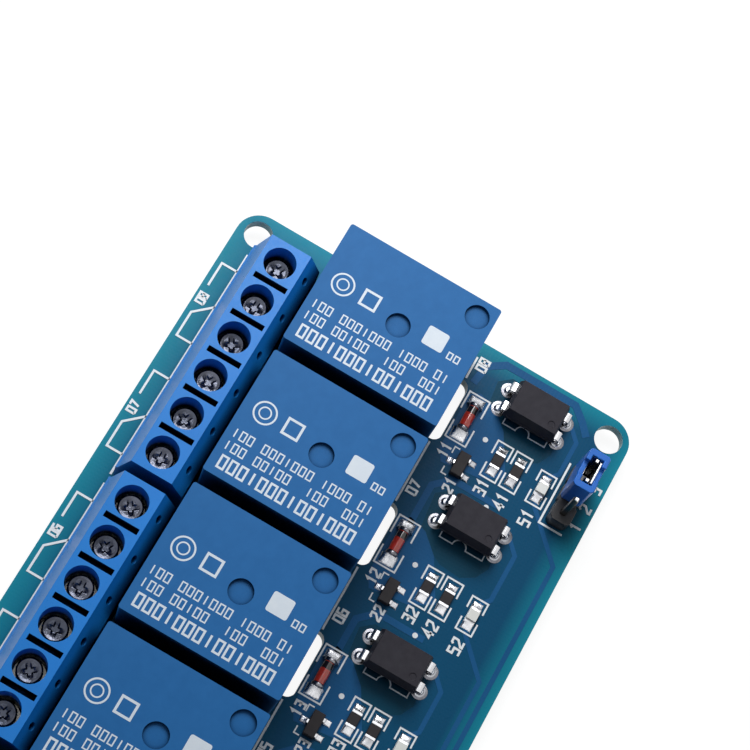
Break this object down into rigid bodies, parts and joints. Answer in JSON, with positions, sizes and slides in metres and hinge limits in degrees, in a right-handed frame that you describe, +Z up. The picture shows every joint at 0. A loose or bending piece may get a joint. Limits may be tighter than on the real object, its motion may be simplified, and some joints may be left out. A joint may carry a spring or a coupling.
{
  "type": "relay module board",
  "caption": "Long circuit board with a row of box relays, screw terminal blocks along one edge, small driver parts and pin headers along the other.",
  "frame": {"origin": "under the middle of the board, at the level of the pin tips that it rests on", "axes": "+X along the board, +Y across it towards the screw terminals, +Z up from the board's component side"},
  "size_m": [0.138, 0.052, 0.0185],
  "materials": {
    "solder_mask": "satin",
    "solder": "bright",
    "terminal_blue": "satin",
    "screw_steel": "bright",
    "cage_metal": "bright",
    "tinned_pin": "bright",
    "relay_blue": "satin",
    "relay_base": "matt",
    "armature_metal": "bright",
    "bobbin_plastic": "matt",
    "copper_wire": "bright",
    "soft_iron": "satin",
    "contact_brass": "bright",
    "black_epoxy": "satin",
    "diode_glass": "clear",
    "chip_black": "matt",
    "lamp_lens": "glossy",
    "header_black": "satin",
    "gold_pin": "bright",
    "cap_blue": "satin"
  },
  "bodies": {
    "board": {"pcb": "solder_mask", "solder_joints": "solder", "terminal_block_1": "terminal_blue", "terminal_block_2": "terminal_blue", "terminal_block_3": "terminal_blue", "terminal_block_4": "terminal_blue", "terminal_screws": "screw_steel", "terminal_cages": "cage_metal", "terminal_pins": "tinned_pin", "relay_cover_1": "relay_blue", "relay_cover_2": "relay_blue", "relay_cover_3": "relay_blue", "relay_cover_4": "relay_blue", "relay_cover_5": "relay_blue", "relay_cover_6": "relay_blue", "relay_cover_7": "relay_blue", "relay_cover_8": "relay_blue", "relay_base_1": "relay_base", "relay_base_2": "relay_base", "relay_base_3": "relay_base", "relay_base_4": "relay_base", "relay_base_5": "relay_base", "relay_base_6": "relay_base", "relay_base_7": "relay_base", "relay_base_8": "relay_base", "relay_bobbins": "bobbin_plastic", "relay_windings": "copper_wire", "relay_cores": "soft_iron", "relay_yokes": "soft_iron", "relay_contacts": "contact_brass", "relay_pins": "tinned_pin", "optocoupler_1": "black_epoxy", "optocoupler_2": "black_epoxy", "optocoupler_3": "black_epoxy", "optocoupler_4": "black_epoxy", "optocoupler_5": "black_epoxy", "optocoupler_6": "black_epoxy", "optocoupler_7": "black_epoxy", "optocoupler_8": "black_epoxy", "optocoupler_leads": "tinned_pin", "transistors": "black_epoxy", "transistor_leads": "tinned_pin", "diodes": "diode_glass", "diode_caps": "tinned_pin", "resistors": "chip_black", "resistor_ends": "solder", "leds": "lamp_lens", "input_header": "header_black", "jumper_header": "header_black", "header_pins": "gold_pin"},
    "armature_1": {"relay_armature_1": "armature_metal"},
    "armature_2": {"relay_armature_2": "armature_metal"},
    "armature_3": {"relay_armature_3": "armature_metal"},
    "armature_4": {"relay_armature_4": "armature_metal"},
    "armature_5": {"relay_armature_5": "armature_metal"},
    "armature_6": {"relay_armature_6": "armature_metal"},
    "armature_7": {"relay_armature_7": "armature_metal"},
    "armature_8": {"relay_armature_8": "armature_metal"},
    "jumper": {"jumper_cap": "cap_blue", "jumper_clip": "tinned_pin"}
  },
  "joints": [
    {"name": "armature_1_tilt", "type": "hinge", "parent": "board", "child": "armature_1", "pos_m": [-0.06003, -0.00157, 0.0144], "axis": [-1, 0, 0], "range_deg": [0, 1.85], "stiffness_Nm_per_rad": 0.01, "springref_deg": -5.73},
    {"name": "armature_2_tilt", "type": "hinge", "parent": "board", "child": "armature_2", "pos_m": [-0.04297, -0.00157, 0.0144], "axis": [-1, 0, 0], "range_deg": [0, 1.85], "stiffness_Nm_per_rad": 0.01, "springref_deg": -5.73},
    {"name": "armature_3_tilt", "type": "hinge", "parent": "board", "child": "armature_3", "pos_m": [-0.02593, -0.00157, 0.0144], "axis": [-1, 0, 0], "range_deg": [0, 1.85], "stiffness_Nm_per_rad": 0.01, "springref_deg": -5.73},
    {"name": "armature_4_tilt", "type": "hinge", "parent": "board", "child": "armature_4", "pos_m": [-0.00887, -0.00157, 0.0144], "axis": [-1, 0, 0], "range_deg": [0, 1.85], "stiffness_Nm_per_rad": 0.01, "springref_deg": -5.73},
    {"name": "armature_5_tilt", "type": "hinge", "parent": "board", "child": "armature_5", "pos_m": [0.00817, -0.00157, 0.0144], "axis": [-1, 0, 0], "range_deg": [0, 1.85], "stiffness_Nm_per_rad": 0.01, "springref_deg": -5.73},
    {"name": "armature_6_tilt", "type": "hinge", "parent": "board", "child": "armature_6", "pos_m": [0.02523, -0.00157, 0.0144], "axis": [-1, 0, 0], "range_deg": [0, 1.85], "stiffness_Nm_per_rad": 0.01, "springref_deg": -5.73},
    {"name": "armature_7_tilt", "type": "hinge", "parent": "board", "child": "armature_7", "pos_m": [0.04228, -0.00157, 0.0144], "axis": [-1, 0, 0], "range_deg": [0, 1.85], "stiffness_Nm_per_rad": 0.01, "springref_deg": -5.73},
    {"name": "armature_8_tilt", "type": "hinge", "parent": "board", "child": "armature_8", "pos_m": [0.05933, -0.00157, 0.0144], "axis": [-1, 0, 0], "range_deg": [0, 1.85], "stiffness_Nm_per_rad": 0.01, "springref_deg": -5.73},
    {"name": "jumper_pull", "type": "slide", "parent": "board", "child": "jumper", "axis": [0, 0, 1], "range_m": [0, 0.0065]}
  ]
}
